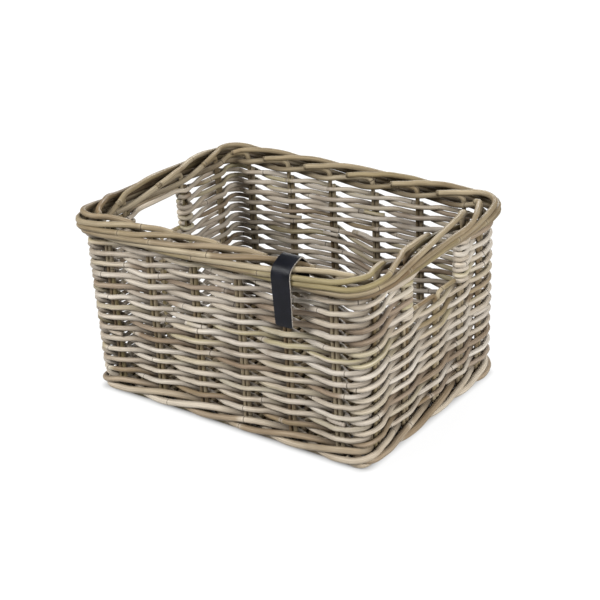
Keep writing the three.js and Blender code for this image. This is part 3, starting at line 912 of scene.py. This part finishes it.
def makeStakes():
    stakeColumns = [column for column in range(aroundCount) if column not in sillColumns]
    for rimIndex, column in enumerate(stakeColumns):
        chance = random.Random(stake["seed"] + column)
        rodRadius = border["rodRadius"] + shake(chance, 1) * border["rodSpread"]
        low, high, count = stake["footHeight"], stake["rimBottom"], stake["legPoints"]
        legLength = high - low - stake["legTrim"]
        heights = [low + stake["legStart"] + legLength * i / count for i in range(count + 1)]
        places = [wallPoint(column, -stake["legOffset"], 0, height) for height in heights[::-1]]
        places.append(wallPoint(column, 0, 0, low))
        places += [wallPoint(column, stake["legOffset"], 0, height) for height in heights]
        stations = [(place, stake["radius"], stake["paintedShade"]) for place in places]
        for step, out, rise, thicker, paintedShade in stake["bend"]:
            place = wallPoint(column, stake["legOffset"] + step, out, high + rise, 0)
            stations.append((place, stake["radius"] * thicker, paintedShade))
        along, apart, layer = border["swellCell"]
        for passed, out, rise in border["lay"]:
            outShift, riseShift = (shake(chance, 1) * border["jitter"] for _ in range(2))
            place = borderPlace(rimIndex + passed, out + outShift, rise + riseShift)
            swell = border["swell"] * noise.noise(Vector((passed * along, column * apart, layer)))
            stations.append((place, rodRadius * (1 + swell), borderPaintedShade(passed)))
        name = f"stake_{column + 1:02d}"
        makeCane(name, stations, "stake", [name], steps=4)
    print("stakes: twenty, laid into the border")


# Sill stakes: under a hand hole both legs bend apart along the sill

sill = {
    "height": 142.3,
    "room": 16.0,  # from its end to the next stake
    "radius": 2.45,
    "legStart": 4.0,  # above the fold
    "legHeights": (40, 70, 100, 125),
    "bend": [(0, 6), (1.6, 1.4), (7, 0)],  # along from the leg, and down from the sill
    "level": (0.5, 0.75, 1),  # shares of its reach
    "paintedShade": (0, 0),
}


def makeSills():
    for column, name in zip(sillColumns, ("right_sill_stake", "left_sill_stake")):
        def halfRod(side):
            reach = abs(columns[(column + side) % aroundCount][1] - columns[column][1]) - sill["room"]
            marks = [(0, height) for height in (stake["footHeight"] + sill["legStart"], *sill["legHeights"])]
            marks += [(step, sill["height"] - drop) for step, drop in sill["bend"]]
            marks += [(reach * share, sill["height"]) for share in sill["level"]]
            leg = stake["legOffset"]
            return [wallPoint(column, side * (leg + step), 0, height) for step, height in marks]

        places = halfRod(1)[::-1] + [wallPoint(column, 0, 0, stake["footHeight"])] + halfRod(-1)
        stations = [(place, sill["radius"], sill["paintedShade"]) for place in places]
        makeCane(name, stations, "stake", [name])
    print("sills: two")


# Base sticks: thick rods on the ground under the walls

base = {
    "radius": 4.0,
    "height": 3.9,
    "out": -1.2,
    "lean": (0.08, 0.03),  # of the end walls and of the long walls, at that height
    "long": 322.0,
    "short": 218.0,
    "points": 13,
    "sway": 0.4,
    "swell": 0.03,
    # painted shade on the outer and inner side
    "paintedShade": (0.3, 0.8),
    "seed": 700,
}


def makeBaseSticks():
    wide = wall["halfLength"] + base["out"] + base["lean"][0]
    deep = wall["halfDepth"] + base["out"] + base["lean"][1]
    sticks = [("front", 0, -deep), ("back", 0, deep), ("left", -wide, 0), ("right", wide, 0)]
    for i, (side, x, y) in enumerate(sticks):
        chance = random.Random(base["seed"] + i)
        middle = Vector((x, y, base["height"]))
        along = Vector((1, 0, 0) if x == 0 else (0, 1, 0))
        length = base["long"] if x == 0 else base["short"]
        stations = []
        for share in np.linspace(-0.5, 0.5, base["points"]):
            sway = along.cross(upward) * shake(chance, base["sway"])
            swell = shake(chance, base["swell"])
            place = middle + along * (length * share) + sway
            stations.append((place, base["radius"] * (1 + swell), base["paintedShade"]))
        name = f"base_stick_{side}"
        piece = makeCane(name, stations, "base", [name], sides=5)
        for vertex in piece.data.vertices:  # worn flat where it stands on the ground
            vertex.co.z = max(vertex.co.z, 0)
    print("base sticks: four")


# Floor: sticks along the basket, and one strand that weaves over and under them

floor = {
    "height": 8.85,
    "sticks": 5,
    "stickRadius": 3.0,
    "stickPoints": 11,
    "stickSway": 0.6,
    "edge": 103.5,  # from the middle to the last stick
    "away": 174.5,  # from the middle to the ends of the sticks
    "weaverRadius": 2.65,
    "weaverSpread": 0.15,
    "weaverSway": 0.3,
    "pitch": 5.6,
    "reach": 172.0,
    "rise": 5.5,
    "turn": 15.0,  # the strand turns beyond the last stick
    # painted shade, the same on both sides
    "paintedShade": (0.45, 0.45),
    "stickSeed": 800,
    "weaverSeed": 820,
}


def makeFloor():
    rows = [floor["edge"] * (2 * i / (floor["sticks"] - 1) - 1) for i in range(floor["sticks"])]
    for i, y in enumerate(rows):
        chance = random.Random(floor["stickSeed"] + i)
        stations = []
        for share in np.linspace(-1, 1, floor["stickPoints"]):
            place = Vector((floor["away"] * share, y + shake(chance, floor["stickSway"]), floor["height"]))
            stations.append((place, floor["stickRadius"], floor["paintedShade"]))
        name = f"floor_stick_{i + 1}"
        makeCane(name, stations, "base", [name])
    passes = 2 * int(floor["reach"] / floor["pitch"])
    chance = random.Random(floor["weaverSeed"])
    stations = []

    def addStation(x, y, rise=0):
        stations.append((Vector((x, y, floor["height"] + rise)), size, floor["paintedShade"]))

    for index in range(passes):
        x = (index - (passes - 1) / 2) * floor["pitch"]
        order = rows if index % 2 == 0 else rows[::-1]
        size = floor["weaverRadius"] + shake(chance, floor["weaverSpread"])
        for i, y in enumerate(order):
            over = 1 if (i + index) % 2 == 0 else -1
            addStation(x + shake(chance, floor["weaverSway"]), y, over * floor["rise"])
            if i + 1 < len(order):
                addStation(x + shake(chance, floor["weaverSway"]), (y + order[i + 1]) / 2)
        if index + 1 < passes:
            turnSide = math.copysign(floor["edge"] + floor["turn"], order[-1])
            addStation(x + floor["pitch"] / 2, turnSide)
    makeCane("floor_weaver", stations, "base", ["floor_weaver"], sides=2)
    print("floor: five sticks and one strand")


# Label strap: a bare leather strip over the front rim

strap = {
    "centre": 101.0,
    "width": 23.0,
    "endWidth": 21.0,
    "endRound": 2.5,
    "thickness": 1.8,
    "bottom": 150.5,
    "hang": 14.6,  # out from the middle of the border, at its lower end
    # out from the middle of the border and up from its underside, from the outside to the inside
    "fold": [
        (16.1, 0), (16.4, 15), (10.8, 22.8), (-2.5, 28), (-8.6, 24), (-13.4, 19.2), (-14.4, 12), (-14, 2.5),
    ],
    "stepsPerBend": 6,
    "across": 10,
    "softEdge": 0.35,
    "softAngle": 50.0,
}
leather = {
    "dark": (10, 11, 17),
    "worn": (18, 19, 27),
    "wearScale": 90.0,
    "wearFrom": (0.35, 0.75),
    "grainScale": 1300.0,
    "glossFrom": (0.3, 0.7),
    "roughness": (0.34, 0.46),
    "bump": 0.35,
    "bumpDepth": 0.0003,
    "specular": 0.14,
    "edgeDark": (92, 87, 82),
    "edgePale": (170, 162, 151),
    "edgeScale": 900.0,
    "edgeFrom": (0.35, 0.7),
    "edgeRoughness": 0.85,
}


def makeLeather():
    material, tree, shader = newMaterial("strap_leather")
    place = placeOn(tree)
    grained = {"Vector": place, "Scale": leather["grainScale"]}
    grain = addNode(tree, "ShaderNodeTexVoronoi", grained).outputs["Distance"]
    wear = addNoise(tree, place, leather["wearScale"], 4.0)
    worn = spread(tree, wear, *leather["wearFrom"])
    colour = mixColour(tree, worn, paint(*leather["dark"]), paint(*leather["worn"]))
    feed(tree, shader, {
        "Base Color": colour,
        "Roughness": spread(tree, wear, *leather["glossFrom"], *leather["roughness"]),
        "Normal": addBump(tree, grain, leather),
        "Specular IOR Level": leather["specular"],
    })
    return material


def makeStrapEdge():
    material, tree, shader = newMaterial("strap_cut_edge")
    fibre = addNoise(tree, placeOn(tree), leather["edgeScale"], 3.0)
    paleness = spread(tree, fibre, *leather["edgeFrom"])
    colour = mixColour(tree, paleness, paint(*leather["edgeDark"]), paint(*leather["edgePale"]))
    feed(tree, shader, {"Base Color": colour, "Roughness": leather["edgeRoughness"]})
    return material


def makeStrap():
    route = [(strap["hang"], strap["bottom"] - stake["rimBottom"]), *strap["fold"]]
    marks = [Vector((0, -border["halfDepth"] - out, stake["rimBottom"] + rise)) for out, rise in route]
    path = []
    for i in range(len(marks) - 1):
        before, first, second, after = (marks[min(max(i + k, 0), len(marks) - 1)] for k in (-1, 0, 1, 2))
        for step in range(strap["stepsPerBend"]):
            t = step / strap["stepsPerBend"]
            slope = (second - before) * (t - 2 * t * t + t ** 3) / 2 + (after - first) * (t ** 3 - t * t) / 2
            path.append(first * (1 - 3 * t * t + 2 * t ** 3) + second * (3 * t * t - 2 * t ** 3) + slope)
    path.append(marks[-1])
    path.reverse()
    mesh = bpy.data.meshes.new("label_strap")
    made = bmesh.new()
    bmesh.ops.create_grid(made, x_segments=strap["across"], y_segments=len(path) - 1, size=0.5)
    for vertex in made.verts:
        row = round((vertex.co.y + 0.5) * (len(path) - 1))
        share = min(1, (path[row].z - strap["bottom"]) / (stake["rimBottom"] - strap["bottom"]))
        width = strap["endWidth"] + (strap["width"] - strap["endWidth"]) * share
        spot = path[row] + Vector((strap["centre"] + vertex.co.x * width, 0, 0))
        vertex.co = spot * mm
    corners = [vertex for vertex in made.verts if len(vertex.link_faces) == 1]
    low = [vertex for vertex in corners if vertex.co.z < (strap["bottom"] + 1) * mm]
    bmesh.ops.bevel(
        made, geom=low, offset=strap["endRound"] * mm, segments=4, profile=0.5, affect="VERTICES", material=-1
    )
    bmesh.ops.recalc_face_normals(made, faces=made.faces)
    made.to_mesh(mesh)
    made.free()
    mesh.materials.append(makeLeather())
    mesh.materials.append(makeStrapEdge())
    piece = addPiece("label_strap", mesh, ["label_strap"])
    thick = piece.modifiers.new("thickness", "SOLIDIFY")
    thick.thickness = strap["thickness"] * mm
    thick.offset = 1
    thick.material_offset_rim = 1
    for face in mesh.polygons:
        face.use_smooth = True
    soften = piece.modifiers.new("soft edges", "BEVEL")
    soften.width = strap["softEdge"] * mm
    soften.segments = 2
    soften.limit_method = "ANGLE"
    soften.angle_limit = math.radians(strap["softAngle"])
    print("label strap")


makeBaseSticks()
makeFloor()
makeFoot()
makeCornerLoops()
makeStakes()
makeSills()
makeSideWeavers()
makeUpperWeavers()
makeTopWeavers()
makeHoleLoops()
makeWeaverEnds()
makeStrap()

# Camera at the angle of the photograph, a pale floor and soft studio light

view = {
    "azimuth": 37.5,
    "elevation": 24.68,
    "roll": -3.06,
    "lens": 88.22,
    "sensor": 36.0,
    "place": (914.6, -1177.3, 782.7),
}


def addCamera():
    camera = bpy.data.objects.new("camera", bpy.data.cameras.new("camera"))
    scene.collection.objects.link(camera)
    camera.data.lens = view["lens"]
    camera.data.sensor_width = view["sensor"]
    turn = Matrix.Rotation(math.radians(view["azimuth"]), 4, "Z")
    tip = Matrix.Rotation(math.radians(90 - view["elevation"]), 4, "X")
    tilt = Matrix.Rotation(math.radians(view["roll"]), 4, "Z")
    camera.matrix_world = Matrix.Translation(Vector(view["place"]) * mm) @ turn @ tip @ tilt
    scene.camera = camera


studio = {
    "floorSize": 14.0,
    "floorTone": 0.36,
    "floorRoughness": 0.9,
    # the footprint where the floor's glow is left out, as a painted shadow, and how softly it fades in
    "underBasket": (0.172, 0.120),
    "shadowEdge": 0.018,
    "glowShare": 0.74,
    "glowFrom": (0.5, 2.5),  # the floor gets a little paler away from the basket
    "glow": (1.24, 1.36),
    "world": 0.12,
    "aim": (0, 0, 0.09),
    "lamps": {  # place, size and power of each soft lamp, which points at the basket
        "key": ((-1.25, -1.85, 1.8), 1.2, 92.0),
        "fill": ((2.4, -0.5, 1.3), 1.4, 84.0),
        "top": ((0.1, 0.4, 2.6), 1.6, 15.0),
        "back": ((-0.9, 2.3, 1.5), 1.6, 60.0),
    },
}


def addFloor():
    mesh = bpy.data.meshes.new("studio_floor")
    made = bmesh.new()
    bmesh.ops.create_grid(made, x_segments=1, y_segments=1, size=studio["floorSize"])
    made.to_mesh(mesh)
    made.free()
    ground = bpy.data.objects.new("studio_floor", mesh)
    scene.collection.objects.link(ground)
    material, tree, shader = newMaterial("studio_floor")
    tone = (*[studio["floorTone"]] * 3, 1)
    matt = {"Base Color": tone, "Roughness": studio["floorRoughness"], "Specular IOR Level": 0.0}
    feed(tree, shader, matt)
    rays = addNode(tree, "ShaderNodeLightPath").outputs
    seen = calculate(tree, "MAXIMUM", rays["Is Camera Ray"], rays["Is Glossy Ray"])
    seen = calculate(tree, "MAXIMUM", seen, rays["Is Transmission Ray"])
    place = addNode(tree, "ShaderNodeSeparateXYZ", {"Vector": placeOn(tree)})
    beyond = []
    for axis, half in zip("XY", studio["underBasket"]):
        past = calculate(tree, "SUBTRACT", calculate(tree, "ABSOLUTE", place.outputs[axis]), half)
        beyond.append(calculate(tree, "POWER", calculate(tree, "MAXIMUM", past, 0.0), 2.0))
    away = calculate(tree, "SQRT", calculate(tree, "ADD", *beyond))
    # no light gets under the basket: the glow fades out over its footprint, a painted shadow soft at its edge
    glowOutsideFootprint = spread(tree, away, 0.0, studio["shadowEdge"], 0.0, studio["glowShare"])
    strength = spread(tree, away, *studio["glowFrom"], *studio["glow"])
    glow = addNode(tree, "ShaderNodeEmission", {"Color": (1, 1, 1, 1), "Strength": strength})
    both = {0: calculate(tree, "MULTIPLY", seen, glowOutsideFootprint), 1: shader.outputs[0], 2: glow.outputs[0]}
    mix = addNode(tree, "ShaderNodeMixShader", both)
    feed(tree, tree.nodes["Material Output"], {"Surface": mix.outputs[0]})
    mesh.materials.append(material)


def addLight():
    world = bpy.data.worlds.new("studio")
    scene.world = world
    world.use_nodes = True
    tree = world.node_tree
    rays = addNode(tree, "ShaderNodeLightPath").outputs
    seen = calculate(tree, "MAXIMUM", rays["Is Camera Ray"], rays["Is Transmission Ray"])
    strength = spread(tree, seen, 0, 1, studio["world"], 1.0, "LINEAR")
    feed(tree, tree.nodes["Background"], {"Color": (1, 1, 1, 1), "Strength": strength})
    aim = Vector(studio["aim"])
    for name, (place, size, power) in studio["lamps"].items():
        lamp = bpy.data.lights.new(name, "AREA")
        lamp.shape = "DISK"
        lamp.size = size
        lamp.energy = power
        holder = bpy.data.objects.new(name, lamp)
        scene.collection.objects.link(holder)
        holder.location = place
        holder.rotation_euler = (aim - Vector(place)).to_track_quat("-Z", "Y").to_euler()


addCamera()
addFloor()
addLight()
scene.view_settings.view_transform = "Standard"
print("camera, floor and light")
